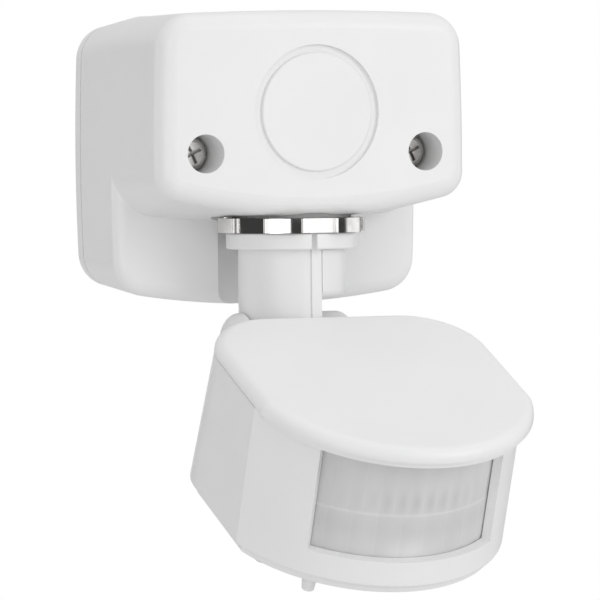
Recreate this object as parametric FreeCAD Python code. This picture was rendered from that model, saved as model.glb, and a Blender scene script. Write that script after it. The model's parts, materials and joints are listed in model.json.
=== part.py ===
import FreeCAD, Part
import math
import os

# Wall-mounted passive infrared motion sensor: a stepped wiring box, a short conduit
# arm hanging under its ledge, and a sensor head that tilts on the arm.
# Frame: origin on the wall plane at the middle of the box's back, +X to the right,
# +Y into the wall, +Z up.  All sizes are in millimetres.

os.makedirs("parts", exist_ok=True)

V = FreeCAD.Vector
X = V(1, 0, 0)
Y = V(0, 1, 0)
Z = V(0, 0, 1)

# --- wiring box ---------------------------------------------------------------
BOX_HALF_W = 32.7          # half width at the corners
BOX_SIDE_BOW = 0.7         # how far each side bulges
BOX_TOP = 28.8             # height of the two upper corners
BOX_TOP_BOW = 0.8
BOX_BOTTOM = -26.7         # height of the two lower corners
BOX_BOTTOM_BOW = 3.1       # how far the bottom edge sags between them
BOX_CORNER = 7.0
BOX_TAPER = 2.0            # how much lower the top and bottom stand at the wall
BACK_ROUND = 1.2
SEAM = 3.6                 # depth of the back plate
SEAM_GAP = 0.4             # rubber gasket between plate and cover
PLATE_FLOOR = 2.4
LOWER_DEPTH = 22.8         # wall to lower front face
UPPER_DEPTH = 48.2         # wall to the middle of the upper front face
FRONT_CROWN = 1.2          # how far the upper front is domed across its width
LEDGE_CORNER = -6.6        # height of the ledge at its front corners
LEDGE_BOW = 4.6            # how far the ledge sags between them
LEDGE_REAR_CORNER = -10.6  # the same two where the ledge meets the lower front
LEDGE_REAR_BOW = 2.2
WALL = 2.2
FRONT_WALL = 2.6
EDGE_ROUND = 3.8
LOWER_ROUND = 2.6
LEDGE_ROUND = 4.6
LEDGE_REAR_ROUND = 9.0

SCREW_TURN = 25            # how far the cross recesses are turned

WELL_X = 23.8
WELL_Z = 1.2
WELL_R = 3.85
WELL_DEPTH = 9.8
WELL_FLOOR = 2.0
PILOT_R = 1.75

DISC_Z = 9.3
DISC_R = 11.8
DISC_GROOVE_R = 13.4
DISC_GROOVE_DEPTH = 0.9
DISC_SPIGOT_R = 10.4

WALL_HOLE_Z = 19.0
WALL_HOLE_R = 2.3
ENTRY_R = 8.0
CABLE_R = 3.5
TERMINAL_X = 14.8
TERMINAL_PITCH = 8.0

# --- arm ----------------------------------------------------------------------
ARM_Y = -34.5              # arm axis, in front of the wall
STEM_R = 10.65
STEM_TOP = -1.6
STEM_BORE = 7.5
HUB_R = 12.6
HUB_TOP = -2.4
PAD_Z = -11.5              # flat seat under the ledge
PAD_T = 2.4
SEAL_R = 12.0
TROUGH_R = 16.2
NUT_TOP = -11.85
NUT_BOTTOM = -14.75
NUT_R = 14.95
NUT_ROOT_R = 13.3
NUT_TEETH = 6
FLANGE_R = 13.2
FLANGE_TOP = -14.85
FLANGE_BOTTOM = -18.1
NECK_R = 10.8
NECK_END = -28.0           # lower end of the short right-hand shell
TONGUE_FACE = 1.9          # flat side of the tongue
SHELL_GAP = 0.15
SEAM_X = -0.5              # fine parting groove down the front of the neck

# --- tilt pivot ---------------------------------------------------------------
PIVOT_Z = -38.2
PIVOT_PIN_R = 2.0
PIN_FIT = 0.06
TONGUE_END_R = 10.65
KNUCKLE_R = 7.4
KNUCKLE_ROUND = 2.7
EAR_LEFT_OUT = -14.0
EAR_LEFT_IN = -11.15
KNUCKLE_IN = 2.2
KNUCKLE_OUT = 12.0
POCKET_R = 11.2
REST_TILT = 24.6           # degrees the head hangs below level when at rest
UP_STOP = 3.0              # degrees it can be raised from rest

# --- sensor head, in its own level frame with the pivot at the origin ------------
HEAD_X = 2.4               # the head's middle plane
REAR = -8.46               # rear edge of the top cover
ROOF = 12.0                # top face of the top cover
COVER_HALF_W = 28.8
COVER_SIDE = 37.1          # length of the straight sides
COVER_SAG = 22.6           # depth of the rounded front
COVER_REAR_R = 14.5
COVER_T = 2.6
FLANGE_T = 1.2
BODY_HALF_W = 28.6
BODY_SIDE = 33.3
BODY_SAG = 20.1
BODY_HEIGHT = 31.7         # roof to the underside of the housing
BOTTOM_T = 1.7
BOTTOM_INSET = 1.3
LEAN = 0.076               # how far the round front comes forward per millimetre going down
BODY_LOW_REAR_R = 12.3     # the rear corners tighten towards the bottom
BODY_WALL = 2.0
WINDOW_ANGLE = 40.0
WINDOW_TOP = -4.9          # below the roof
WINDOW_BOTTOM = -26.3
LENS_T = 0.8
KNOB_REACH = 5.3
KNOB_PLACES = {"time": (-15.3, 43.2), "lux": (0.0, 41.7), "range": (15.0, 40.2)}
BOTTOM_SCREWS = [(-24.0, 14.0), (24.0, 14.0), (-22.8, 37.5), (22.8, 37.5)]


def save(name, shape):
    """Write one sub-part."""
    shape.exportStep("parts/" + name + ".step")


def rod(radius, height, base, axis=Z):
    return Part.makeCylinder(radius, height, base, axis)


def tube(outer, inner, height, base, axis=Z):
    return rod(outer, height, base, axis).cut(rod(inner, height, base, axis))


def block(x0, x1, y0, y1, z0, z1):
    return Part.makeBox(x1 - x0, y1 - y0, z1 - z0, V(x0, y0, z0))


def loop(edges):
    """A flat face from edges that meet end to end."""
    return Part.Face(Part.Wire(Part.__sortEdges__(edges)))


def arc(a, b, c):
    return Part.Arc(a, b, c).toShape()


def edges_along(shape, direction):
    """The straight edges parallel to a direction."""
    found = []
    for edge in shape.Edges:
        if edge.Curve.TypeId != "Part::GeomLine":
            continue
        if abs(abs(edge.Curve.Direction.dot(direction)) - 1) < 1e-6:
            found.append(edge)
    return found


def phillips_screw(head_r, head_h, shank_r, length, seat, axis):
    """A pan-head screw with a cross recess; seat is the point under its head and
    axis points from the tip to the head."""
    shank = rod(shank_r, length, seat - axis * length, axis)
    head = rod(head_r, head_h, seat, axis)
    rim = [e for e in head.Edges if (e.CenterOfMass - seat).dot(axis) > head_h * 0.9]
    head = head.makeFillet(head_h * 0.45, rim)
    depth = head_h * 0.6
    arm = head_r * 0.62
    width = head_r * 0.2
    cross = None
    for turn in (0, 90):
        slot = Part.makeBox(2 * arm, width, depth + 1, V(-arm, -width / 2, 0))
        slot.rotate(V(0, 0, 0), Z, turn)
        cross = slot if cross is None else cross.fuse(slot)
    spin = FreeCAD.Rotation(Z, axis)
    cross.Placement = FreeCAD.Placement(seat + axis * (head_h - depth), spin)
    cross.rotate(seat, axis, SCREW_TURN)
    return head.cut(cross).fuse(shank).removeSplitter()


# --- wiring box ---------------------------------------------------------------

def box_silhouette(inset, y):
    """The box seen from the front: gently bowed sides and top, and a sagging bottom."""
    narrowing = BOX_TAPER * max(0, 1 + y / LOWER_DEPTH)
    half = BOX_HALF_W - inset
    top = BOX_TOP - inset - narrowing
    bottom = BOX_BOTTOM + inset + narrowing
    middle = (top + bottom) / 2
    bulge = half + BOX_SIDE_BOW
    corners = [V(-half, y, top), V(half, y, top), V(half, y, bottom), V(-half, y, bottom)]
    edges = [
        arc(corners[0], V(0, y, top + BOX_TOP_BOW), corners[1]),
        arc(corners[1], V(bulge, y, middle), corners[2]),
        arc(corners[2], V(0, y, bottom - BOX_BOTTOM_BOW), corners[3]),
        arc(corners[3], V(-bulge, y, middle), corners[0]),
    ]
    return loop(edges)


def rounded_outline(inset, y):
    """The silhouette as a closed wire with its four corners rounded."""
    slab = box_silhouette(inset, y).extrude(V(0, -1, 0))
    slab = slab.makeFillet(BOX_CORNER - inset, edges_along(slab, Y))
    face = max(slab.Faces, key=lambda f: f.CenterOfMass.y)
    return face.OuterWire


def box_prism(inset, y_back, y_front):
    """The box between two depths: it widens away from the wall, then runs straight."""
    bend = max(-LOWER_DEPTH, y_front)
    solid = Part.makeLoft([rounded_outline(inset, y_back), rounded_outline(inset, bend)], True, True)
    if y_front < bend:
        ahead = Part.Face(rounded_outline(inset, bend)).extrude(V(0, y_front - bend, 0))
        solid = solid.fuse(ahead).removeSplitter()
    return solid


def ledge_share(y):
    """0 where the ledge leaves the lower front, 1 at the upper front."""
    return (-y - LOWER_DEPTH) / (UPPER_DEPTH - LOWER_DEPTH)


def between(rear, front, y):
    return rear + (front - rear) * ledge_share(y)


def below_ledge(inset, y):
    """A thin slab of everything under the bowed ledge at one depth."""
    corner = between(LEDGE_REAR_CORNER, LEDGE_CORNER, y) + inset
    bow = between(LEDGE_REAR_BOW, LEDGE_BOW, y)
    half = BOX_HALF_W + 10
    spread = bow * (half / BOX_HALF_W) ** 2 - bow
    left = V(-half, y + 1, corner + spread)
    right = V(half, y + 1, corner + spread)
    edges = [
        arc(left, V(0, y + 1, corner - bow), right),
        Part.makeLine(right, V(half, y + 1, -60)),
        Part.makeLine(V(half, y + 1, -60), V(-half, y + 1, -60)),
        Part.makeLine(V(-half, y + 1, -60), left),
    ]
    return loop(edges).extrude(V(0, -3, 0))


def upper_outline(inset, y):
    """The part of the silhouette above the ledge, with rounded corners."""
    slab = box_silhouette(inset, y).extrude(V(0, -1, 0)).cut(below_ledge(inset, y))
    low = [e for e in edges_along(slab, Y) if e.CenterOfMass.z < 0]
    slab = slab.makeFillet(between(LEDGE_REAR_ROUND, LEDGE_ROUND, y) - inset, low)
    high = [e for e in edges_along(slab, Y) if e.CenterOfMass.z > BOX_TOP - 3 - inset]
    slab = slab.makeFillet(BOX_CORNER - inset, high)
    face = max(slab.Faces, key=lambda f: f.CenterOfMass.y)
    return face.OuterWire


def crown(inset):
    """A wide drum whose near side gives the upper front its slight dome."""
    radius = (BOX_HALF_W ** 2 + FRONT_CROWN ** 2) / (2 * FRONT_CROWN) - inset
    centre = V(0, -UPPER_DEPTH + inset + radius, -60)
    return rod(radius, 120, centre)


def round_front(solid, depth, radius):
    """Round the edges around the front face."""
    near = [f for f in solid.Faces if f.CenterOfMass.y < -depth + 2.0]
    face = max(near, key=lambda f: f.Area)
    return solid.makeFillet(radius, face.OuterWire.Edges)


def upper_mass(inset, front_inset, y_rear):
    """The deep part of the box above the ledge."""
    wires = [upper_outline(inset, y_rear), upper_outline(inset, -UPPER_DEPTH - 2)]
    return Part.makeLoft(wires, True, True).common(crown(front_inset))


def cover_outside(y_back):
    """The stepped form of the cover: deep above the ledge, shallow below it."""
    start = -LOWER_DEPTH + LOWER_ROUND * 1.5
    upper = round_front(upper_mass(0, 0, start), UPPER_DEPTH, EDGE_ROUND)
    lower = round_front(box_prism(0, y_back, -LOWER_DEPTH), LOWER_DEPTH, LOWER_ROUND)
    return upper.fuse(lower)


def cover_inside(y_back):
    bend = -LOWER_DEPTH + WALL
    return upper_mass(WALL, FRONT_WALL, bend).fuse(box_prism(WALL, y_back, bend))


def make_front_cover():
    back = -SEAM - SEAM_GAP
    outside = cover_outside(back)
    shell = outside.cut(cover_inside(back))
    seat = rod(TROUGH_R + WALL, PAD_T, V(0, ARM_Y, PAD_Z))
    hub = rod(HUB_R, HUB_TOP - PAD_Z, V(0, ARM_Y, PAD_Z))
    shell = shell.fuse(seat.fuse(hub).common(outside))
    liner = rod(TROUGH_R + WALL, 40, V(0, ARM_Y, PAD_Z - 40))
    shell = shell.fuse(liner.common(box_prism(WALL, back, -LOWER_DEPTH + WALL)))
    shell = shell.cut(rod(TROUGH_R, 40, V(0, ARM_Y, PAD_Z - 40)))
    for side in (-1, 1):
        x = side * WELL_X
        floor = well_front(x) - WELL_DEPTH
        boss = rod(WELL_R + 1.8, WELL_DEPTH + WELL_FLOOR - 1.2, V(x, -floor + WELL_FLOOR, WELL_Z), -Y)
        shell = shell.fuse(boss)
        shell = shell.cut(rod(WELL_R, 30, V(x, -floor, WELL_Z), -Y))
        shell = shell.cut(rod(PILOT_R + 0.25, 10, V(x, -floor + 5, WELL_Z), -Y))
    shell = shell.cut(rod(STEM_R + 0.07, 20, V(0, ARM_Y, PAD_Z - 1)))
    shell = shell.cut(rod(SEAL_R + 0.1, 0.7, V(0, ARM_Y, PAD_Z)))
    shell = shell.cut(rod(DISC_GROOVE_R, 10, V(0, -UPPER_DEPTH + DISC_GROOVE_DEPTH, DISC_Z), -Y))
    shell = shell.cut(rod(DISC_SPIGOT_R + 0.05, 20, V(0, -UPPER_DEPTH + 10, DISC_Z), -Y))
    return shell.removeSplitter()


def well_front(x):
    """How far the domed front stands from the wall at a given x."""
    radius = (BOX_HALF_W ** 2 + FRONT_CROWN ** 2) / (2 * FRONT_CROWN)
    return UPPER_DEPTH - radius + math.sqrt(radius ** 2 - x ** 2)


def make_wall_plate():
    tray = box_prism(0, 0, -SEAM)
    back = [e for e in tray.Edges if abs(e.CenterOfMass.y) < 0.01]
    tray = tray.makeFillet(BACK_ROUND, back)
    tray = tray.cut(box_prism(WALL, -PLATE_FLOOR, -SEAM))
    for side in (-1, 1):
        x = side * WELL_X
        reach = well_front(x) - WELL_DEPTH - WELL_FLOOR - 0.1
        tray = tray.fuse(rod(4.0, reach - 1.0, V(x, -1.0, WELL_Z), -Y))
        tray = tray.cut(rod(PILOT_R, 20, V(x, -reach + 18, WELL_Z), -Y))
    for z in (-WALL_HOLE_Z, WALL_HOLE_Z):
        tray = tray.fuse(rod(5.0, 3.0, V(0, -1.0, z), -Y))
        tray = tray.cut(rod(WALL_HOLE_R, 10, V(0, 1, z), -Y))
    tray = tray.cut(rod(ENTRY_R, 10, V(0, 1, 0), -Y))
    return tray.removeSplitter()


def make_cover_gasket():
    """The rubber strip between tray and cover, set in a little from the outside."""
    strip = box_prism(0.5, -SEAM, -SEAM - SEAM_GAP)
    return strip.cut(box_prism(WALL - 0.2, -SEAM, -SEAM - SEAM_GAP))


def make_entry_grommet():
    body = rod(ENTRY_R - 0.05, 5.6, V(0, -0.3, 0), -Y)
    collar = rod(ENTRY_R + 2.0, 2.2, V(0, -2.45, 0), -Y)
    grommet = body.fuse(collar)
    rim = [e for e in grommet.Edges if e.CenterOfMass.y < -5.8]
    grommet = grommet.makeFillet(1.2, rim)
    return grommet.cut(rod(CABLE_R, 12, V(0, 1, 0), -Y)).removeSplitter()


def make_blanking_disc():
    """A round plug snapped into the spare opening in the front."""
    face = -UPPER_DEPTH + 0.2
    plate = rod(DISC_R, DISC_GROOVE_DEPTH - 0.22, V(0, face, DISC_Z), Y)
    front_rim = [e for e in plate.Edges if e.CenterOfMass.y < face + 0.1]
    plate = plate.makeFillet(0.3, front_rim)
    spigot = tube(DISC_SPIGOT_R, DISC_SPIGOT_R - 1.6, 4.0, V(0, face + 0.4, DISC_Z), Y)
    return plate.fuse(spigot).removeSplitter()


def make_cover_screws():
    screws = []
    for side in (-1, 1):
        x = side * WELL_X
        seat = V(x, -(well_front(x) - WELL_DEPTH) - 0.02, WELL_Z)
        screws.append(phillips_screw(3.4, 2.3, 1.7, 15.0, seat, -Y))
    return Part.makeCompound(screws)


def make_terminal_block():
    """Three-way screw terminal standing on the back of the tray, beside the cable entry."""
    body = block(TERMINAL_X - 3.9, TERMINAL_X + 3.9, -14.5, -2.5, -13, 13)
    body = body.makeFillet(0.8, edges_along(body, Z))
    for i in range(3):
        z = (i - 1) * TERMINAL_PITCH
        body = body.cut(rod(2.2, 9, V(TERMINAL_X, -6.5, z), -Y))
        body = body.cut(rod(1.6, 12, V(TERMINAL_X - 6, -5.2, z), X))
    return body


def make_terminal_screws():
    screws = []
    for i in range(3):
        z = (i - 1) * TERMINAL_PITCH
        screw = rod(2.0, 4.0, V(TERMINAL_X, -7.2, z), -Y)
        slot = block(TERMINAL_X - 2.5, TERMINAL_X + 2.5, -11.5, -10.3, z - 0.4, z + 0.4)
        screws.append(screw.cut(slot))
    return Part.makeCompound(screws)


def make_stem_seal():
    return tube(SEAL_R, STEM_R + 0.15, 0.95, V(0, ARM_Y, NUT_TOP + 0.05))


# --- locknut ------------------------------------------------------------------

def make_locknut():
    """A pressed conduit locknut with square teeth round its rim."""
    height = NUT_TOP - NUT_BOTTOM
    nut = rod(NUT_R, height, V(0, ARM_Y, NUT_BOTTOM))
    gap_angle = 360.0 / NUT_TEETH
    for i in range(NUT_TEETH):
        notch = block(NUT_ROOT_R, NUT_R + 1, -3.6, 3.6, NUT_BOTTOM - 1, NUT_TOP + 1)
        notch.rotate(V(0, 0, 0), Z, i * gap_angle + 30)
        notch.translate(V(0, ARM_Y, 0))
        nut = nut.cut(notch)
    upright = edges_along(nut, Z)
    nut = nut.makeFillet(0.35, upright)
    return nut.cut(rod(STEM_R + 0.08, height + 2, V(0, ARM_Y, NUT_BOTTOM - 1)))


# --- arm ----------------------------------------------------------------------

def make_arm_body():
    """Threaded stem, flange and the left-hand shell that runs down into the tongue."""
    stem = rod(STEM_R, STEM_TOP - FLANGE_BOTTOM, V(0, ARM_Y, FLANGE_BOTTOM))
    top_rim = [e for e in stem.Edges if abs(e.CenterOfMass.z - STEM_TOP) < 0.01]
    stem = stem.makeChamfer(0.6, top_rim)
    for i in range(5):
        groove = tube(STEM_R + 1, STEM_R - 0.45, 0.7, V(0, ARM_Y, STEM_TOP - 2.0 - 1.8 * i))
        stem = stem.cut(groove)
    collar = rod(FLANGE_R, FLANGE_TOP - FLANGE_BOTTOM, V(0, ARM_Y, FLANGE_BOTTOM))
    collar = collar.makeFillet(0.5, collar.Edges[0:1] + collar.Edges[2:3])
    notch = block(-1.3, -0.1, ARM_Y - FLANGE_R - 1, ARM_Y - FLANGE_R + 1.3, FLANGE_BOTTOM - 1, FLANGE_TOP + 1)
    collar = collar.cut(notch)
    neck = rod(NECK_R, FLANGE_BOTTOM - PIVOT_Z, V(0, ARM_Y, PIVOT_Z))
    lower = rod(NECK_R, TONGUE_END_R + 1, V(0, ARM_Y, PIVOT_Z - TONGUE_END_R - 1))
    lower = lower.common(rod(TONGUE_END_R, 40, V(-20, ARM_Y, PIVOT_Z), X))
    neck = neck.fuse(lower)
    neck = neck.cut(block(TONGUE_FACE, 20, ARM_Y - 20, ARM_Y + 20, PIVOT_Z - 20, FLANGE_BOTTOM))
    seam_y = ARM_Y - math.sqrt(NECK_R ** 2 - SEAM_X ** 2)
    seam = block(SEAM_X - 0.2, SEAM_X + 0.2, seam_y - 1, seam_y + 0.3, PIVOT_Z, FLANGE_BOTTOM)
    neck = neck.cut(seam)
    arm = stem.fuse(collar).fuse(neck)
    arm = arm.cut(rod(STEM_BORE, STEM_TOP - NECK_END + 1, V(0, ARM_Y, NECK_END + 2)))
    arm = arm.cut(rod(PIVOT_PIN_R + PIN_FIT, 40, V(-20, ARM_Y, PIVOT_Z), X))
    return arm.removeSplitter()


def make_arm_cover():
    """The short right-hand shell of the neck, closed at its lower end."""
    height = FLANGE_BOTTOM - NECK_END - 0.1
    shell = rod(NECK_R, height, V(0, ARM_Y, NECK_END))
    low_rim = [e for e in shell.Edges if abs(e.CenterOfMass.z - NECK_END) < 0.01]
    shell = shell.makeFillet(1.8, low_rim)
    shell = shell.cut(rod(STEM_BORE, height, V(0, ARM_Y, NECK_END + 2)))
    keep = block(TONGUE_FACE + SHELL_GAP, 20, ARM_Y - 20, ARM_Y + 20, NECK_END - 1, FLANGE_BOTTOM)
    return shell.common(keep)


def make_supply_leads():
    """Three insulated conductors dropping through the stem."""
    leads = []
    for i in range(3):
        angle = math.radians(90 + 120 * i)
        x = 2.2 * math.cos(angle)
        y = ARM_Y + 2.2 * math.sin(angle)
        leads.append(rod(1.4, 26.0, V(x, y, -24.5)))
    return Part.makeCompound(leads)


# --- sensor head --------------------------------------------------------------

def head_point(u, v, w):
    """A point given across, forward of the cover's rear edge and above its roof."""
    return V(HEAD_X + u, REAR - v, ROOF + w)


def d_face(half, side, sag, rear_r, inset, w):
    """The plan of the head: straight sides, a round front and large rear corners."""
    half = half - inset
    radius = max(rear_r - inset, 0.5)
    deep = sag - inset
    c = radius * (1 - math.sqrt(0.5))
    points = [
        head_point(-half + radius, inset, w),
        head_point(half - radius, inset, w),
        head_point(half - c, inset + c, w),
        head_point(half, inset + radius, w),
        head_point(half, side, w),
        head_point(0, side + deep, w),
        head_point(-half, side, w),
        head_point(-half, inset + radius, w),
        head_point(-half + c, inset + c, w),
    ]
    edges = [
        Part.makeLine(points[0], points[1]),
        arc(points[1], points[2], points[3]),
        Part.makeLine(points[3], points[4]),
        arc(points[4], points[5], points[6]),
        Part.makeLine(points[6], points[7]),
        arc(points[7], points[8], points[0]),
    ]
    return loop(edges)


def cover_slab(inset, w_top, w_bottom):
    face = d_face(COVER_HALF_W, COVER_SIDE, COVER_SAG, COVER_REAR_R, inset, w_top)
    return face.extrude(V(0, 0, w_bottom - w_top))


def body_plan(inset, w):
    """The body's plan at one height: its front leans out and its rear corners tighten."""
    low = min(max(-w / BODY_HEIGHT, 0), 1)
    rear_r = COVER_REAR_R + (BODY_LOW_REAR_R - COVER_REAR_R) * low
    return d_face(BODY_HALF_W, BODY_SIDE - LEAN * w, BODY_SAG, rear_r, inset, w).OuterWire


def body_slab(inset, w_top, w_bottom):
    """A slice of the leaning body between two heights below the roof."""
    return Part.makeLoft([body_plan(inset, w_top), body_plan(inset, w_bottom)], True, True)


def neck_slot():
    """Room for the tongue and neck over the whole tilt range."""
    width = KNUCKLE_IN - EAR_LEFT_IN
    pocket = rod(POCKET_R, width, V(EAR_LEFT_IN, 0, 0), X)
    channel = block(EAR_LEFT_IN, KNUCKLE_IN, -POCKET_R, 30, 0, 40)
    channel.rotate(V(0, 0, 0), X, -(REST_TILT - UP_STOP - 0.6))
    behind = block(EAR_LEFT_IN, KNUCKLE_IN, 0, 30, -POCKET_R, 40)
    return pocket.fuse(channel).fuse(behind)


def knuckle(x_in, x_out):
    """One pivot ear: round about the pin and carried forward into the housing."""
    low = min(x_in, x_out)
    high = max(x_in, x_out)
    ear = rod(KNUCKLE_R, high - low, V(low, 0, 0), X)
    outer = [e for e in ear.Edges if abs(e.CenterOfMass.x - x_out) < 0.01]
    ear = ear.makeFillet(KNUCKLE_ROUND, outer)
    web = block(low, high, REAR - 4, 0, -KNUCKLE_R, KNUCKLE_R)
    web_outer = [e for e in edges_along(web, Y) if abs(e.CenterOfMass.x - x_out) < 0.01]
    web = web.makeFillet(KNUCKLE_ROUND, web_outer)
    return ear.fuse(web)


def lens_arc(outer, inner, half_angle, w_top, w_bottom):
    """A curved strip concentric with the rounded front, leaning like the body."""
    radius = (BODY_HALF_W ** 2 + BODY_SAG ** 2) / (2 * BODY_SAG)
    centre_v = BODY_SIDE + BODY_SAG - radius - LEAN * w_top
    angle = math.radians(half_angle)
    rim = []
    for r in (outer, inner):
        ends = [head_point(s * r * math.sin(angle), centre_v + r * math.cos(angle), w_top) for s in (-1, 1)]
        rim.append((ends[0], head_point(0, centre_v + r, w_top), ends[1]))
    edges = [
        arc(*rim[0]),
        Part.makeLine(rim[0][2], rim[1][2]),
        arc(*rim[1]),
        Part.makeLine(rim[1][0], rim[0][0]),
    ]
    height = w_bottom - w_top
    return loop(edges).extrude(V(0, LEAN * height, height))


def front_radius():
    return (BODY_HALF_W ** 2 + BODY_SAG ** 2) / (2 * BODY_SAG)


def upright(u, v, radius, w_low, w_high):
    """A round post parallel to the head's height."""
    return rod(radius, w_high - w_low, head_point(u, v, w_low))


def make_head_housing():
    under_cover = -COVER_T - 0.1
    body = body_slab(0, under_cover - 0.3, -BODY_HEIGHT)
    visor = cover_slab(0.8, under_cover, under_cover - FLANGE_T)
    rear_edges = [e for e in body.Edges if abs(e.CenterOfMass.z - (ROOF - BODY_HEIGHT)) < 0.01]
    body = body.makeFillet(0.6, rear_edges)
    shell = body.fuse(visor)
    shell = shell.fuse(knuckle(EAR_LEFT_IN, EAR_LEFT_OUT))
    shell = shell.fuse(knuckle(KNUCKLE_IN, KNUCKLE_OUT))
    inside = body_slab(BODY_WALL, under_cover + 1, -BODY_HEIGHT - 1)
    pocket_wall = rod(POCKET_R + 1.6, KNUCKLE_IN - EAR_LEFT_IN + 3.2, V(EAR_LEFT_IN - 1.6, 0, 0), X)
    inside = inside.cut(pocket_wall)
    shell = shell.cut(inside)
    opening = lens_arc(front_radius() + 5, front_radius() - 6, WINDOW_ANGLE, WINDOW_TOP, WINDOW_BOTTOM)
    shell = shell.cut(opening)
    for u, v in BOTTOM_SCREWS:
        post = upright(u, v, 3.0, -BODY_HEIGHT, -BODY_HEIGHT + 9)
        shell = shell.fuse(post)
        shell = shell.cut(upright(u, v, 1.15, -BODY_HEIGHT - 1, -BODY_HEIGHT + 8))
    shell = shell.cut(neck_slot())
    shell = shell.cut(rod(PIVOT_PIN_R + 0.02, 40, V(-20, 0, 0), X))
    shell = shell.cut(rod(3.6, 5, V(KNUCKLE_OUT - 2.2, 0, 0), X))
    nut_room = hexagon(3.55, 4, V(EAR_LEFT_OUT + 1.7 - 4, 0, 0), X)
    return shell.cut(nut_room).removeSplitter()


def hexagon(across_half, height, base, axis):
    """A hexagonal bar; across_half is half the distance between flats."""
    corner = across_half / math.cos(math.radians(30))
    points = []
    for i in range(7):
        angle = math.radians(60 * i)
        points.append(V(corner * math.cos(angle), corner * math.sin(angle), 0))
    bar = Part.Face(Part.makePolygon(points)).extrude(V(0, 0, height))
    bar.Placement = FreeCAD.Placement(base, FreeCAD.Rotation(Z, axis))
    return bar


def make_top_cover():
    """The visor: rounded along its sides and front, square where it meets the neck."""
    slab = cover_slab(0, 0, -COVER_T)
    soft = []
    for edge in slab.Edges:
        on_roof = abs(edge.BoundBox.ZMin - ROOF) < 0.01
        at_rear = edge.BoundBox.YMin > REAR - 0.01
        if on_roof and not at_rear:
            soft.append(edge)
    slab = slab.makeFillet(2.3, soft)
    slab = slab.cut(cover_slab(1.7, -2.2, -COVER_T))
    return slab.cut(neck_slot())


def make_head_seal():
    ring = cover_slab(1.9, -2.25, -COVER_T - 0.08)
    ring = ring.cut(cover_slab(3.4, -2.25, -COVER_T - 0.08))
    room = block(EAR_LEFT_IN - 1.5, KNUCKLE_IN + 1.5, REAR - 7, REAR + 5, ROOF - 6, ROOF)
    return ring.cut(room)


def make_bottom_cover():
    top = -BODY_HEIGHT - 0.1
    plate = body_slab(BOTTOM_INSET, top, top - BOTTOM_T)
    low = [e for e in plate.Edges if abs(e.CenterOfMass.z - (ROOF + top - BOTTOM_T)) < 0.01]
    plate = plate.makeFillet(0.7, low)
    spigot = body_slab(BODY_WALL + 0.15, top + 1.2, top)
    spigot = spigot.cut(body_slab(BODY_WALL + 1.6, top + 1.2, top))
    for u, v in BOTTOM_SCREWS:
        spigot = spigot.cut(upright(u, v, 3.2, top, top + 3))
    plate = plate.fuse(spigot)
    for u, v in BOTTOM_SCREWS:
        plate = plate.cut(upright(u, v, 1.45, top - 4, top + 1))
        plate = plate.cut(upright(u, v, 2.5, top - 4, top - 1.1))
    for u, v in KNOB_PLACES.values():
        plate = plate.cut(upright(u, v, 3.9, top - 4, top - 1.0))
        plate = plate.cut(upright(u, v, 1.6, top - 4, top + 1))
    plate = plate.cut(rod(POCKET_R + 1.8, 40, V(-20, 0, 0), X))
    return plate.removeSplitter()


def make_fresnel_lens():
    outer = front_radius() - BODY_WALL - 0.1
    return lens_arc(outer, outer - LENS_T, WINDOW_ANGLE + 6, WINDOW_TOP + 1.0, WINDOW_BOTTOM - 1.8)


def make_lens_frame():
    """The inner frame that presses the lens against the housing."""
    outer = front_radius() - BODY_WALL - 0.15 - LENS_T
    frame = lens_arc(outer, outer - 1.0, WINDOW_ANGLE + 6, WINDOW_TOP + 1.0, WINDOW_BOTTOM - 1.8)
    hole = lens_arc(outer + 1, outer - 2, WINDOW_ANGLE + 1, WINDOW_TOP - 0.2, WINDOW_BOTTOM + 0.2)
    return frame.cut(hole)


def make_main_board():
    """The power board, lying flat above the adjusters."""
    board = body_slab(BODY_WALL + 2.6, -23.6, -25.2)
    board = board.cut(rod(POCKET_R + 3.0, 60, V(-30, 0, 0), X))
    for u, v in BOTTOM_SCREWS:
        board = board.cut(upright(u, v, 3.5, -26, -22))
    return board


def make_sensor_board():
    board = block(HEAD_X - 16, HEAD_X + 16, REAR - 25.6, REAR - 24.0, ROOF - 23.4, ROOF - 6.5)
    return board.makeFillet(1.0, edges_along(board, Y))


def make_pir_can():
    """The metal can of the infrared detector with its square opening."""
    base = head_point(0, 25.65, -15.0)
    can = rod(4.1, 3.6, base, -Y)
    can = can.fuse(rod(4.6, 0.5, base, -Y))
    opening = block(base.x - 2.0, base.x + 2.0, base.y - 5, base.y - 3.1, base.z - 1.5, base.z + 1.5)
    return can.cut(opening).removeSplitter()


def make_pir_window():
    base = head_point(0, 25.65, -15.0)
    return block(base.x - 1.95, base.x + 1.95, base.y - 3.55, base.y - 3.12, base.z - 1.45, base.z + 1.45)


def make_light_cell():
    base = head_point(10.5, 25.65, -13.0)
    return rod(2.5, 1.8, base, -Y)


def make_status_led():
    base = head_point(-10.5, 25.65, -13.0)
    body = rod(1.5, 2.2, base, -Y)
    dome = Part.makeSphere(1.5, base - Y * 2.2)
    return body.fuse(dome).fuse(rod(1.75, 0.6, base, -Y)).removeSplitter()


def make_relay():
    base = head_point(4.0, 20.5, -23.5)
    relay = block(base.x, base.x + 14, base.y, base.y + 10, base.z, base.z + 13)
    return relay.makeFillet(0.5, edges_along(relay, Z))


def make_film_capacitor():
    base = head_point(-17.0, 20.0, -23.5)
    part = block(base.x, base.x + 12, base.y, base.y + 6, base.z, base.z + 10)
    return part.makeFillet(0.5, edges_along(part, Z))


def make_electrolytic():
    post = upright(-21.0, 25.0, 3.0, -23.5, -14.0)
    rim = [e for e in post.Edges if e.CenterOfMass.z > ROOF - 14.1]
    return post.makeFillet(0.5, rim)


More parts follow.
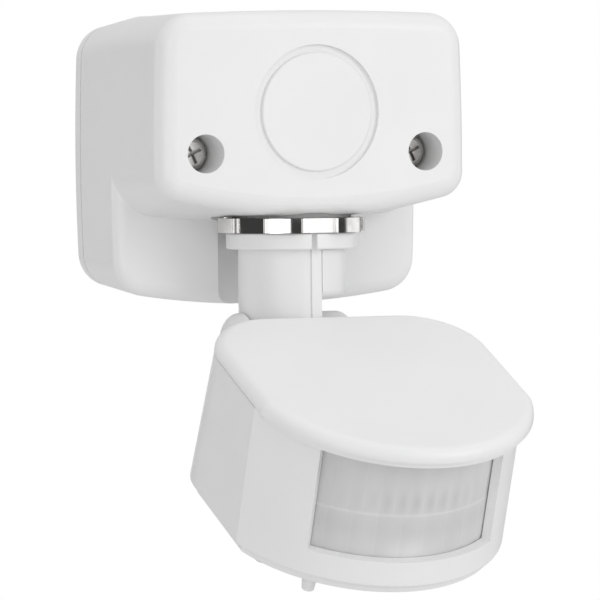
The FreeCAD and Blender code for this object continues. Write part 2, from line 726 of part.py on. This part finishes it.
def make_adjusters():
    """The three potentiometer bodies under the main board."""
    bodies = []
    for u, v in KNOB_PLACES.values():
        can = upright(u, v, 2.3, -BODY_HEIGHT + 1.3, -25.3)
        bodies.append(can.cut(upright(u, v, 1.15, -BODY_HEIGHT, -25.8)))
    return Part.makeCompound(bodies)


def make_bottom_screws():
    screws = []
    for u, v in BOTTOM_SCREWS:
        seat = head_point(u, v, -BODY_HEIGHT - 0.1 - 1.15)
        screws.append(phillips_screw(2.35, 1.3, 1.1, 8.0, seat, -Z))
    return Part.makeCompound(screws)


def make_pivot_screw():
    seat = V(KNUCKLE_OUT - 2.2, 0, 0)
    return phillips_screw(3.4, 2.1, PIVOT_PIN_R, seat.x - EAR_LEFT_OUT - 0.2, seat, X)


def make_pivot_nut():
    nut = hexagon(3.5, 1.6, V(EAR_LEFT_OUT + 0.08, 0, 0), X)
    return nut.cut(rod(PIVOT_PIN_R + 0.02, 10, V(-20, 0, 0), X))


def make_knob(u, v):
    """A small adjuster knob with a tapered finger tab, set into the underside."""
    seat = -BODY_HEIGHT - 1.15
    tip_w = seat - KNOB_REACH
    knob = upright(u, v, 3.6, seat - 0.7, seat)
    tab = Part.makeCone(1.2, 1.8, KNOB_REACH - 0.3, head_point(u, v, tip_w))
    tip = [e for e in tab.Edges if abs(e.CenterOfMass.z - (ROOF + tip_w)) < 0.01]
    tab = tab.makeFillet(0.4, tip)
    stalk = upright(u, v, 1.1, seat, -BODY_HEIGHT + 3.4)
    return knob.fuse(tab).fuse(stalk).removeSplitter()


def hang(shape):
    """Carry a head piece from its level frame to the arm's pivot, at rest tilt."""
    placed = shape.copy()
    placed.rotate(V(0, 0, 0), X, REST_TILT)
    placed.translate(V(0, ARM_Y, PIVOT_Z))
    return placed


def build_box():
    save("wall_plate", make_wall_plate())
    save("cover_gasket", make_cover_gasket())
    save("front_cover", make_front_cover())
    save("blanking_disc", make_blanking_disc())
    save("cover_screws", make_cover_screws())
    save("entry_grommet", make_entry_grommet())
    save("terminal_block", make_terminal_block())
    save("terminal_screws", make_terminal_screws())
    save("stem_seal", make_stem_seal())


def build_arm():
    save("locknut", make_locknut())
    save("arm_body", make_arm_body())
    save("arm_cover", make_arm_cover())
    save("supply_leads", make_supply_leads())


def build_head():
    save("head_housing", hang(make_head_housing()))
    save("top_cover", hang(make_top_cover()))
    save("bottom_cover", hang(make_bottom_cover()))
    save("head_seal", hang(make_head_seal()))
    save("fresnel_lens", hang(make_fresnel_lens()))
    save("lens_frame", hang(make_lens_frame()))
    save("main_board", hang(make_main_board()))
    save("sensor_board", hang(make_sensor_board()))
    save("pir_can", hang(make_pir_can()))
    save("pir_window", hang(make_pir_window()))
    save("light_cell", hang(make_light_cell()))
    save("status_led", hang(make_status_led()))
    save("relay", hang(make_relay()))
    save("film_capacitor", hang(make_film_capacitor()))
    save("electrolytic", hang(make_electrolytic()))
    save("adjusters", hang(make_adjusters()))
    save("bottom_screws", hang(make_bottom_screws()))
    save("pivot_screw", hang(make_pivot_screw()))
    save("pivot_nut", hang(make_pivot_nut()))
    for name, (u, v) in KNOB_PLACES.items():
        save("knob_" + name, hang(make_knob(u, v)))


build_box()
build_arm()
build_head()
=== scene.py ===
import json
import math

import bmesh
import bpy
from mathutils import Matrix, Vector


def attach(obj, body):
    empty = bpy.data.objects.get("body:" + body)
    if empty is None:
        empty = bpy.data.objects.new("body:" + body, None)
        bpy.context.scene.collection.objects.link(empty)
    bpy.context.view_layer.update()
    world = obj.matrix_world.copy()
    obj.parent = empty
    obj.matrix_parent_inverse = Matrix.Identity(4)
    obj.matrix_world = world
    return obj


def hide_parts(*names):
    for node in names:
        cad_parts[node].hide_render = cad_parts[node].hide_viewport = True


# Looks of a wall-mounted motion sensor: satin white mouldings, a bright plated locknut,
# and a milky Fresnel lens under a visor.  Places are in the frame's own axes, in metres.
# Only the lens is worked out in millimetres, and MM turns them into metres.

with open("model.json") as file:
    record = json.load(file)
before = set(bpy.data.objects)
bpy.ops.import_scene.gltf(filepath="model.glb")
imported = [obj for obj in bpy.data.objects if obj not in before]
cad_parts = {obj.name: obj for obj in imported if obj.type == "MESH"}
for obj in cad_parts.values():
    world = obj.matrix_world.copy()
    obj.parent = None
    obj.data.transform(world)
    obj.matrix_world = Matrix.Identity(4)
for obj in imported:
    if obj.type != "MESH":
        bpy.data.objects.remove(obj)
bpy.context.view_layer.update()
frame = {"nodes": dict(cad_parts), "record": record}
NODES = frame["nodes"]
MM = 0.001

# sockets of the colour mix node, which share their names with its other kinds
MIX_FACTOR = 0
MIX_A = 6
MIX_B = 7
MIX_RESULT = 2

# how far hairlines on plated metal are stretched along the upright axis
HAIRLINE_STRETCH = (1.0, 1.0, 14.0)

PLASTIC_IOR = 1.49
FILM_IOR = 1.5
TRACK_SCALE = 240.0        # cells to the metre in the circuit board's pattern


# --- shader building ----------------------------------------------------------

def new_group(name, inputs):
    """An empty shader node group that puts out a colour, a roughness and a bump height."""
    group = bpy.data.node_groups.new(name, "ShaderNodeTree")
    for label, kind, value in inputs:
        socket = group.interface.new_socket(label, in_out="INPUT", socket_type=kind)
        socket.default_value = value
    group.interface.new_socket("Colour", in_out="OUTPUT", socket_type="NodeSocketColor")
    for label in ("Roughness", "Height"):
        group.interface.new_socket(label, in_out="OUTPUT", socket_type="NodeSocketFloat")
    entry = group.nodes.new("NodeGroupInput")
    return group, entry


def close_group(group, colour, rough, height):
    """Lead the three results out of a surface group."""
    leave = group.nodes.new("NodeGroupOutput")
    group.links.new(colour, leave.inputs["Colour"])
    group.links.new(rough, leave.inputs["Roughness"])
    group.links.new(height, leave.inputs["Height"])


def noise(tree, vector, scale, detail=4.0, rough=0.5):
    """A noise texture; scale is a socket or a number."""
    node = tree.nodes.new("ShaderNodeTexNoise")
    node.inputs["Detail"].default_value = detail
    node.inputs["Roughness"].default_value = rough
    tree.links.new(vector, node.inputs["Vector"])
    if isinstance(scale, (int, float)):
        node.inputs["Scale"].default_value = scale
    else:
        tree.links.new(scale, node.inputs["Scale"])
    return node.outputs["Fac"]


def remap(tree, value, low, high, to_low, to_high):
    """Stretch a value from one span to another, clamped."""
    node = tree.nodes.new("ShaderNodeMapRange")
    tree.links.new(value, node.inputs["Value"])
    for label, amount in (("From Min", low), ("From Max", high)):
        node.inputs[label].default_value = amount
    for label, amount in (("To Min", to_low), ("To Max", to_high)):
        if isinstance(amount, (int, float)):
            node.inputs[label].default_value = amount
        else:
            tree.links.new(amount, node.inputs[label])
    return node.outputs["Result"]


def maths(tree, kind, a, b=0.0):
    """One arithmetic node on sockets or numbers."""
    node = tree.nodes.new("ShaderNodeMath")
    node.operation = kind
    for slot, amount in zip(node.inputs, (a, b)):
        if isinstance(amount, (int, float)):
            slot.default_value = amount
        else:
            tree.links.new(amount, slot)
    return node.outputs["Value"]


def blend_colour(tree, factor, a, b):
    """Mix two colours by a factor."""
    node = tree.nodes.new("ShaderNodeMix")
    node.data_type = "RGBA"
    for slot, amount in ((MIX_FACTOR, factor), (MIX_A, a), (MIX_B, b)):
        if isinstance(amount, (int, float, tuple)):
            node.inputs[slot].default_value = amount
        else:
            tree.links.new(amount, node.inputs[slot])
    return node.outputs[MIX_RESULT]


def make_moulding_group():
    """Moulded plastic: a fine spark-eroded grain, slow waviness and faint uneven tone."""
    inputs = [
        ("Colour", "NodeSocketColor", (0.8, 0.8, 0.8, 1)),
        ("Shade", "NodeSocketColor", (0.7, 0.7, 0.7, 1)),
        ("Gloss low", "NodeSocketFloat", 0.35),
        ("Gloss high", "NodeSocketFloat", 0.5),
        ("Grain scale", "NodeSocketFloat", 5200.0),
    ]
    group, entry = new_group("moulded_surface", inputs)
    place = group.nodes.new("ShaderNodeTexCoord").outputs["Object"]
    tone = noise(group, place, scale=38.0, detail=3.0)
    blotch = remap(group, tone, 0.35, 0.7, 0.0, 1.0)
    colour = blend_colour(group, blotch, entry.outputs["Colour"], entry.outputs["Shade"])
    smear = noise(group, place, scale=160.0, detail=5.0, rough=0.6)
    rough = remap(group, smear, 0.3, 0.7, entry.outputs["Gloss low"], entry.outputs["Gloss high"])
    grain = noise(group, place, entry.outputs["Grain scale"], detail=2.0)
    wave = noise(group, place, scale=90.0, detail=2.0)
    fine = maths(group, "MULTIPLY", grain, 0.35)
    slow = maths(group, "MULTIPLY", wave, 1.4)
    height = maths(group, "ADD", fine, slow)
    close_group(group, colour, rough, height)
    return group


def make_plating_group():
    """Plated or drawn metal: hairline scratches, small pits and uneven polish."""
    inputs = [
        ("Colour", "NodeSocketColor", (0.8, 0.8, 0.8, 1)),
        ("Tarnish", "NodeSocketColor", (0.5, 0.5, 0.5, 1)),
        ("Polish", "NodeSocketFloat", 0.1),
        ("Wear", "NodeSocketFloat", 0.3),
    ]
    group, entry = new_group("plated_surface", inputs)
    place = group.nodes.new("ShaderNodeTexCoord").outputs["Object"]
    stretch = group.nodes.new("ShaderNodeMapping")
    stretch.inputs["Scale"].default_value = HAIRLINE_STRETCH
    group.links.new(place, stretch.inputs["Vector"])
    hair = noise(group, stretch.outputs["Vector"], scale=700.0, detail=6.0, rough=0.65)
    pit = noise(group, place, scale=1500.0, detail=3.0)
    cloud = noise(group, place, scale=220.0, detail=4.0)
    dull = remap(group, cloud, 0.42, 0.72, 0.0, 1.0)
    dull = maths(group, "MULTIPLY", dull, entry.outputs["Wear"])
    colour = blend_colour(group, dull, entry.outputs["Colour"], entry.outputs["Tarnish"])
    rough = maths(group, "ADD", entry.outputs["Polish"], maths(group, "MULTIPLY", dull, 0.35))
    height = maths(group, "ADD", hair, maths(group, "MULTIPLY", pit, 0.5))
    close_group(group, colour, rough, height)
    return group


MOULDING = make_moulding_group()
PLATING = make_plating_group()


def blank_material(name):
    """A material holding only a Principled shader."""
    material = bpy.data.materials.new(name)
    material.use_nodes = True
    shader = material.node_tree.nodes["Principled BSDF"]
    return material, shader


def add_bump(tree, shader, height, strength, distance):
    """Roughen a shader's normal by a height; distance is in metres."""
    bump = tree.nodes.new("ShaderNodeBump")
    bump.inputs["Strength"].default_value = strength
    bump.inputs["Distance"].default_value = distance
    tree.links.new(height, bump.inputs["Height"])
    tree.links.new(bump.outputs["Normal"], shader.inputs["Normal"])


def grey(level, warmth=0.0):
    """A neutral colour, or with warmth a slightly yellow one."""
    return (level * (1 + warmth), level, level * (1 - warmth), 1.0)


def place_surface(tree, shader, group, values, bump, distance):
    """Put a surface group in a material with its own values and lead it to the shader."""
    finish = tree.nodes.new("ShaderNodeGroup")
    finish.node_tree = group
    for label, value in values.items():
        finish.inputs[label].default_value = value
    tree.links.new(finish.outputs["Colour"], shader.inputs["Base Color"])
    tree.links.new(finish.outputs["Roughness"], shader.inputs["Roughness"])
    add_bump(tree, shader, finish.outputs["Height"], bump, distance)
    return finish


def plastic(name, colour, shade, gloss=(0.34, 0.46), grain=5200.0, bump=0.25, distance=0.00002, coat=0.0):
    """A moulded plastic finish."""
    material, shader = blank_material(name)
    values = {
        "Colour": colour,
        "Shade": shade,
        "Gloss low": gloss[0],
        "Gloss high": gloss[1],
        "Grain scale": grain,
    }
    place_surface(material.node_tree, shader, MOULDING, values, bump, distance)
    shader.inputs["IOR"].default_value = PLASTIC_IOR
    shader.inputs["Coat Weight"].default_value = coat
    return material


def metal(name, colour, tarnish, polish, wear, bump=0.15, distance=0.00001):
    """A plated or machined metal finish."""
    material, shader = blank_material(name)
    values = {"Colour": colour, "Tarnish": tarnish, "Polish": polish, "Wear": wear}
    place_surface(material.node_tree, shader, PLATING, values, bump, distance)
    shader.inputs["Metallic"].default_value = 1.0
    return material


def make_lens_film():
    """Milky polyethylene, toned by a mesh attribute that holds painted highlights and painted
    shade besides the film's own uneven tone."""
    material, shader = blank_material("lens_film")
    tree = material.node_tree
    tone_and_light_attribute = tree.nodes.new("ShaderNodeAttribute")
    tone_and_light_attribute.attribute_name = "tone_and_painted_light"
    # the attribute mixes the film's own tone with painted highlights and painted shade
    tone = blend_colour(tree, tone_and_light_attribute.outputs["Fac"], grey(0.38), grey(0.88))
    values = {"Gloss low": 0.3, "Gloss high": 0.42, "Grain scale": 2600.0}
    finish = place_surface(tree, shader, MOULDING, values, bump=0.2, distance=0.00002)
    tree.links.new(tone, finish.inputs["Colour"])
    tree.links.new(tone, finish.inputs["Shade"])
    shader.inputs["IOR"].default_value = FILM_IOR
    shader.inputs["Transmission Weight"].default_value = 0.08
    shader.inputs["Subsurface Weight"].default_value = 0.2
    shader.inputs["Subsurface Radius"].default_value = (1.0, 1.0, 1.0)
    shader.inputs["Subsurface Scale"].default_value = 0.002
    return material


def make_board_finish():
    """Solder mask over faint copper tracks."""
    material, shader = blank_material("circuit_board")
    tree = material.node_tree
    place = tree.nodes.new("ShaderNodeTexCoord").outputs["Object"]
    cells = tree.nodes.new("ShaderNodeTexVoronoi")
    cells.feature = "DISTANCE_TO_EDGE"
    cells.distance = "EUCLIDEAN"
    cells.inputs["Scale"].default_value = TRACK_SCALE
    tree.links.new(place, cells.inputs["Vector"])
    track = remap(tree, cells.outputs["Distance"], 0.02, 0.06, 1.0, 0.0)
    colour = blend_colour(tree, track, (0.01, 0.12, 0.04, 1), (0.03, 0.22, 0.09, 1))
    rough = remap(tree, noise(tree, place, 400.0), 0.3, 0.7, 0.25, 0.4)
    tree.links.new(colour, shader.inputs["Base Color"])
    tree.links.new(rough, shader.inputs["Roughness"])
    add_bump(tree, shader, track, 0.3, 0.00004)
    return material


def make_finishes():
    """Every finish by the record's slot name."""
    return {
        "white_housing": plastic("white_housing", grey(0.865), grey(0.845), (0.36, 0.46)),
        "white_knob": plastic("white_knob", grey(0.84), grey(0.80), (0.40, 0.5), 3800.0),
        "grey_rubber": plastic("grey_rubber", grey(0.30), grey(0.22), (0.7, 0.85), 2200.0, 0.5, 0.00006),
        "zinc_steel": metal("zinc_steel", grey(0.66, 0.02), grey(0.30, 0.06), 0.24, 0.8),
        "bright_zinc": metal("bright_zinc", grey(0.86, 0.01), grey(0.42, 0.03), 0.07, 0.45, 0.12),
        "brass": metal("brass", (0.75, 0.56, 0.26, 1), (0.42, 0.28, 0.12, 1), 0.22, 0.7),
        "terminal_plastic": plastic("terminal_plastic", grey(0.72, 0.03), grey(0.62, 0.04), (0.4, 0.55)),
        "lead_insulation": plastic(
            "lead_insulation", (0.32, 0.16, 0.09, 1), (0.25, 0.12, 0.07, 1), (0.3, 0.4)
        ),
        "lens_film": make_lens_film(),
        "dark_plastic": plastic("dark_plastic", grey(0.05), grey(0.035), (0.4, 0.6), 3000.0, 0.4),
        "circuit_board": make_board_finish(),
        "cell_resin": plastic(
            "cell_resin", (0.72, 0.60, 0.38, 1), (0.6, 0.48, 0.28, 1), (0.15, 0.3), coat=0.5
        ),
        "red_resin": plastic(
            "red_resin", (0.65, 0.05, 0.04, 1), (0.5, 0.03, 0.03, 1), (0.1, 0.2), coat=0.5
        ),
        "capacitor_resin": plastic(
            "capacitor_resin", (0.70, 0.42, 0.12, 1), (0.6, 0.35, 0.1, 1), (0.2, 0.35)
        ),
    }


FINISHES = make_finishes()


def dress_nodes():
    """Give every CAD node the finish of its slot."""
    for part in frame["record"]["subparts"]:
        node = NODES[part["node"]]
        finish = FINISHES[part["material_slot"]]
        node.data.materials.clear()
        node.data.materials.append(finish)


dress_nodes()


# --- Fresnel lens -------------------------------------------------------------

# All in millimetres.  The head is drawn level, with its origin at the tilt pivot.  In it,
# depths run forward from the roof's rear edge, and heights count from the roof's top face.

TILT = math.radians(24.6)      # how far the head hangs below level
PIVOT = Vector((0.0, -34.5, -38.2))
HEAD_X = 2.4                   # the head's middle plane
REAR = -8.46                   # rear edge of the roof
ROOF = 12.0                    # top face of the roof
BODY_HALF_W = 28.6
BODY_SIDE = 33.3               # where the straight sides end
BODY_SAG = 20.1                # how far the round front bulges past them
LEAN = 0.076                   # how far the front leans forward for each mm down
FRONT_R = (BODY_HALF_W ** 2 + BODY_SAG ** 2) / (2 * BODY_SAG)
LENS_INSET = 2.1               # front of the body to the front of the lens
LENS_R = FRONT_R - LENS_INSET
LENS_T = 0.8
FACET_SINK = 0.16              # room left for the facets inside the CAD strip
LENS_ANGLE = math.radians(45.5)
LENS_TOP = -4.4
LENS_BOTTOM = -27.8
TIER_SPLIT = -17.6             # height of the line between the two tiers
UPPER_FACETS = 15
LOWER_FACETS = 9
RING_PITCH = 0.55
RING_HEIGHT = 0.03
DOME_ACROSS = 0.08
DOME_ALONG = 0.04
LENS_COLUMNS = 360
LENS_ROWS = 120


def head_to_row(u, v, w):
    """A point of the head, across, forward of the roof's rear edge and above the roof."""
    y = REAR - v
    z = ROOF + w
    turned = (y * math.cos(TILT) - z * math.sin(TILT), y * math.sin(TILT) + z * math.cos(TILT))
    return Vector((HEAD_X + u, turned[0] + PIVOT.y, turned[1] + PIVOT.z)) * MM


def facet_place(angle, w):
    """Where a point lies in its facet: across it from -0.5 to 0.5, up it from -1 to 1,
    and the facet's angle and middle height."""
    upper = w > TIER_SPLIT
    count = UPPER_FACETS if upper else LOWER_FACETS
    span = 2 * LENS_ANGLE / count
    place = (angle + LENS_ANGLE) / span
    across = place - math.floor(place) - 0.5
    top, bottom = (LENS_TOP, TIER_SPLIT) if upper else (TIER_SPLIT, LENS_BOTTOM)
    middle = (top + bottom) / 2
    return across, (w - middle) / ((top - bottom) / 2), span, middle


def lens_relief(angle, w):
    """How far the moulded facets stand proud: shallow domes with fine rings, in two tiers."""
    across, along, span, middle = facet_place(angle, w)
    dome = DOME_ACROSS * (1 - (2 * across) ** 2) + DOME_ALONG * (1 - along ** 2)
    reach = math.hypot(across * span * LENS_R, w - middle)
    return dome + RING_HEIGHT * (reach / RING_PITCH - math.floor(reach / RING_PITCH))


def swell(place, middle, spread):
    """A soft bump: 1 at the middle, fading on both sides."""
    return math.exp(-((place - middle) / spread) ** 2)


def lens_tone_and_painted_light(angle, w):
    """How pale the film looks, from 0 to 1: its own uneven tone, painted highlights along
    the facet joins and the tier line, painted shade in bands above and below the tier line
    and at the left end, and a painted glow low in the middle.
    """
    across = facet_place(angle, w)[0]
    unevenness = math.sin(9.7 * angle + 1.3) * math.sin(23.1 * angle)
    facet_join_highlight = max(0.0, 1 - abs(abs(across) - 0.5) / 0.05)
    tier_highlight = swell(w, TIER_SPLIT, 0.28)
    painted_shade_above = swell(w, TIER_SPLIT + 2.6, 2.2) * swell(angle, 0.05, 0.42)
    painted_shade_below = swell(w, TIER_SPLIT - 3.0, 2.6)
    painted_glow_low = swell(w, -26.0, 2.6) * swell(angle, -0.02, 0.16)
    painted_shade_left_end = swell(angle, -LENS_ANGLE, 0.28)
    # painted light: facet joins and the tier line painted brighter, bands and the left end painted
    # darker, a patch low in the middle painted brighter as light bounced off the board
    level = 0.72 + 0.03 * unevenness + 0.05 * facet_join_highlight + 0.16 * tier_highlight
    level -= (0.13 + 0.09 * math.cos(2 * math.pi * across)) * painted_shade_above
    level -= 0.10 * painted_shade_below
    level += 0.24 * painted_glow_low
    level -= 0.10 * painted_shade_left_end
    return min(max(level, 0.0), 1.0)


def lens_point(column, line, front):
    """A point of the front or back skin, and the film's tone there, painted light included."""
    w = LENS_TOP + (LENS_BOTTOM - LENS_TOP) * line / LENS_ROWS
    angle = -LENS_ANGLE + 2 * LENS_ANGLE * column / LENS_COLUMNS
    radius = LENS_R - FACET_SINK if front else LENS_R - LENS_T
    if front and 0 < column < LENS_COLUMNS and 0 < line < LENS_ROWS:
        radius += lens_relief(angle, w)
    centre = BODY_SIDE + BODY_SAG - FRONT_R - LEAN * w
    point = head_to_row(radius * math.sin(angle), centre + radius * math.cos(angle), w)
    return point, lens_tone_and_painted_light(angle, w)


def lens_skin(shape, tones, front):
    """Rows of corners for one skin of the sheet; their tones, painted light included, are added to the
    list.
    """
    rows = []
    for line in range(LENS_ROWS + 1):
        row = []
        for column in range(LENS_COLUMNS + 1):
            point, tone = lens_point(column, line, front)
            row.append(shape.verts.new(point))
            tones.append(tone)
        rows.append(row)
    return rows


def cover_skin(shape, rows, flip):
    """Four-sided faces over one skin."""
    for j in range(LENS_ROWS):
        for i in range(LENS_COLUMNS):
            quad = [rows[j][i], rows[j + 1][i], rows[j + 1][i + 1], rows[j][i + 1]]
            shape.faces.new(quad[::-1] if flip else quad)


def close_edges(shape, front, back):
    """The narrow faces round the sheet's four edges."""
    for j in range(LENS_ROWS):
        shape.faces.new([front[j][0], back[j][0], back[j + 1][0], front[j + 1][0]])
        shape.faces.new([front[j][-1], front[j + 1][-1], back[j + 1][-1], back[j][-1]])
    for i in range(LENS_COLUMNS):
        shape.faces.new([front[0][i], front[0][i + 1], back[0][i + 1], back[0][i]])
        shape.faces.new([front[-1][i], back[-1][i], back[-1][i + 1], front[-1][i + 1]])


def make_lens():
    """The curved lens sheet with its moulded facets, standing for the plain CAD strip."""
    mesh = bpy.data.meshes.new("lens_sheet")
    shape = bmesh.new()
    tones = []
    front = lens_skin(shape, tones, True)
    back = lens_skin(shape, tones, False)
    cover_skin(shape, front, False)
    cover_skin(shape, back, True)
    close_edges(shape, front, back)
    shape.to_mesh(mesh)
    shape.free()
    # this attribute holds the film's tone together with painted highlights and painted shade
    mesh.attributes.new("tone_and_painted_light", "FLOAT", "POINT").data.foreach_set("value", tones)
    lens = bpy.data.objects.new("lens_sheet", mesh)
    bpy.context.scene.collection.objects.link(lens)
    mesh.materials.append(FINISHES["lens_film"])
    for face in mesh.polygons:
        face.use_smooth = True
    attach(lens, "sensor_head")
    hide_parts("fresnel_lens")


make_lens()


# --- stage --------------------------------------------------------------------

FLOOR_DROP = 0.9
FLOOR_HALF = 3.0

WORLD_FILL = 1.03
FILL_LOW = 0.50                # grey of the room at its floor
FILL_HIGH = 0.72               # and at its ceiling
CARD_STRENGTH = 1.1
CARD_COUNT = 5.0

# name, width and height, watts, place
LAMPS = [
    ("key_light", (0.9, 0.9), 8.2, (1.05, -1.45, 0.45)),
    ("left_fill", (1.0, 1.0), 4.0, (-1.1, -1.3, 0.1)),
    ("top_light", (1.2, 0.8), 1.6, (0.1, -0.3, 1.3)),
]
LAMP_AIM = Vector((0.0, -0.05, -0.03))

CAMERA_TURN = math.radians(23.44)
CAMERA_DISTANCE = 1.1043
CAMERA_HEIGHT = 0.00863
CAMERA_AIM = Vector((-0.00067, -0.040, -0.0283))
CAMERA_ROLL = math.radians(0.53)
CAMERA_LENS = 331.3


def make_floor():
    """A plain pale floor well below the wall-mounted sensor."""
    mesh = bpy.data.meshes.new("floor")
    turns = ((-1, -1), (1, -1), (1, 1), (-1, 1))
    corners = [(x * FLOOR_HALF, y * FLOOR_HALF, -FLOOR_DROP) for x, y in turns]
    mesh.from_pydata(corners, [], [(0, 1, 2, 3)])
    floor = bpy.data.objects.new("floor", mesh)
    bpy.context.scene.collection.objects.link(floor)
    material, shader = blank_material("pale_floor")
    tree = material.node_tree
    place = tree.nodes.new("ShaderNodeTexCoord").outputs["Object"]
    tone = blend_colour(tree, noise(tree, place, 1.2), grey(0.86), grey(0.80))
    tree.links.new(tone, shader.inputs["Base Color"])
    shader.inputs["Roughness"].default_value = 0.9
    mesh.materials.append(material)


def make_light(name, size, power, place):
    """A soft rectangular lamp aimed at the sensor."""
    lamp = bpy.data.lights.new(name, "AREA")
    lamp.shape = "RECTANGLE"
    lamp.size = size[0]
    lamp.size_y = size[1]
    lamp.energy = power
    holder = bpy.data.objects.new(name, lamp)
    holder.location = place
    holder.rotation_euler = (LAMP_AIM - Vector(place)).to_track_quat("-Z", "Y").to_euler()
    bpy.context.scene.collection.objects.link(holder)


def glow(tree, strength, colour):
    """A background of one brightness; colour is a socket or a plain colour."""
    node = tree.nodes.new("ShaderNodeBackground")
    node.inputs["Strength"].default_value = strength
    if isinstance(colour, tuple):
        node.inputs["Color"].default_value = colour
    else:
        tree.links.new(colour, node.inputs["Color"])
    return node.outputs["Background"]


def choose(tree, factor, off, on):
    """Mix two shaders by a factor."""
    node = tree.nodes.new("ShaderNodeMixShader")
    for slot, socket in zip(node.inputs, (factor, off, on)):
        tree.links.new(socket, slot)
    return node.outputs["Shader"]


def soft_fill(tree, rise):
    """The room's even light, paler towards the ceiling."""
    height = remap(tree, rise, -0.5, 0.9, 0.0, 1.0)
    fill = tree.nodes.new("ShaderNodeValToRGB")
    fill.color_ramp.elements[0].color = grey(FILL_LOW)
    fill.color_ramp.elements[1].color = grey(FILL_HIGH)
    tree.links.new(height, fill.inputs["Fac"])
    return glow(tree, WORLD_FILL, fill.outputs["Color"])


def light_cards(tree, split):
    """Bright cards with dark gaps between them, all round the room."""
    angle = maths(tree, "ARCTAN2", split.outputs["X"], split.outputs["Y"])
    stripes = maths(tree, "SINE", maths(tree, "MULTIPLY", angle, CARD_COUNT))
    cards = remap(tree, stripes, -0.25, 0.25, 0.04, 1.0)
    colour = tree.nodes.new("ShaderNodeCombineColor")
    for label in ("Red", "Green", "Blue"):
        tree.links.new(cards, colour.inputs[label])
    return glow(tree, CARD_STRENGTH, colour.outputs["Color"])


def make_world():
    """A white studio: white to the eye, softer as a light, with cards near the horizon
    that show only in reflections."""
    world = bpy.data.worlds.new("studio")
    world.use_nodes = True
    bpy.context.scene.world = world
    tree = world.node_tree
    tree.nodes.clear()
    direction = tree.nodes.new("ShaderNodeTexCoord").outputs["Generated"]
    split = tree.nodes.new("ShaderNodeSeparateXYZ")
    tree.links.new(direction, split.inputs["Vector"])
    path = tree.nodes.new("ShaderNodeLightPath")
    from_level = maths(tree, "ABSOLUTE", split.outputs["Z"])
    near_level = remap(tree, from_level, 0.10, 0.22, 1.0, 0.0)
    glossy = maths(tree, "MULTIPLY", path.outputs["Is Glossy Ray"], near_level)
    mirrored = choose(tree, glossy, soft_fill(tree, split.outputs["Z"]), light_cards(tree, split))
    backdrop = glow(tree, 1.0, grey(1.0))
    seen = choose(tree, path.outputs["Is Camera Ray"], mirrored, backdrop)
    leave = tree.nodes.new("ShaderNodeOutputWorld")
    tree.links.new(seen, leave.inputs["Surface"])


def make_camera():
    """A long lens, a little to the left of the box and almost level."""
    lens = bpy.data.cameras.new("camera")
    lens.lens = CAMERA_LENS
    lens.clip_start = 0.05
    lens.clip_end = 60.0
    camera = bpy.data.objects.new("camera", lens)
    side = Vector((-math.sin(CAMERA_TURN), -math.cos(CAMERA_TURN), 0)) * CAMERA_DISTANCE
    camera.location = CAMERA_AIM + side
    camera.location.z = CAMERA_HEIGHT
    look = (CAMERA_AIM - camera.location).to_track_quat("-Z", "Y")
    camera.rotation_euler = look.to_euler()
    camera.rotation_euler.rotate_axis("Z", -CAMERA_ROLL)
    bpy.context.scene.collection.objects.link(camera)
    bpy.context.scene.camera = camera


def make_stage():
    """Floor, studio light and camera."""
    make_floor()
    make_world()
    for name, size, power, place in LAMPS:
        make_light(name, size, power, place)
    make_camera()
    bpy.context.scene.view_settings.view_transform = "Standard"


make_stage()
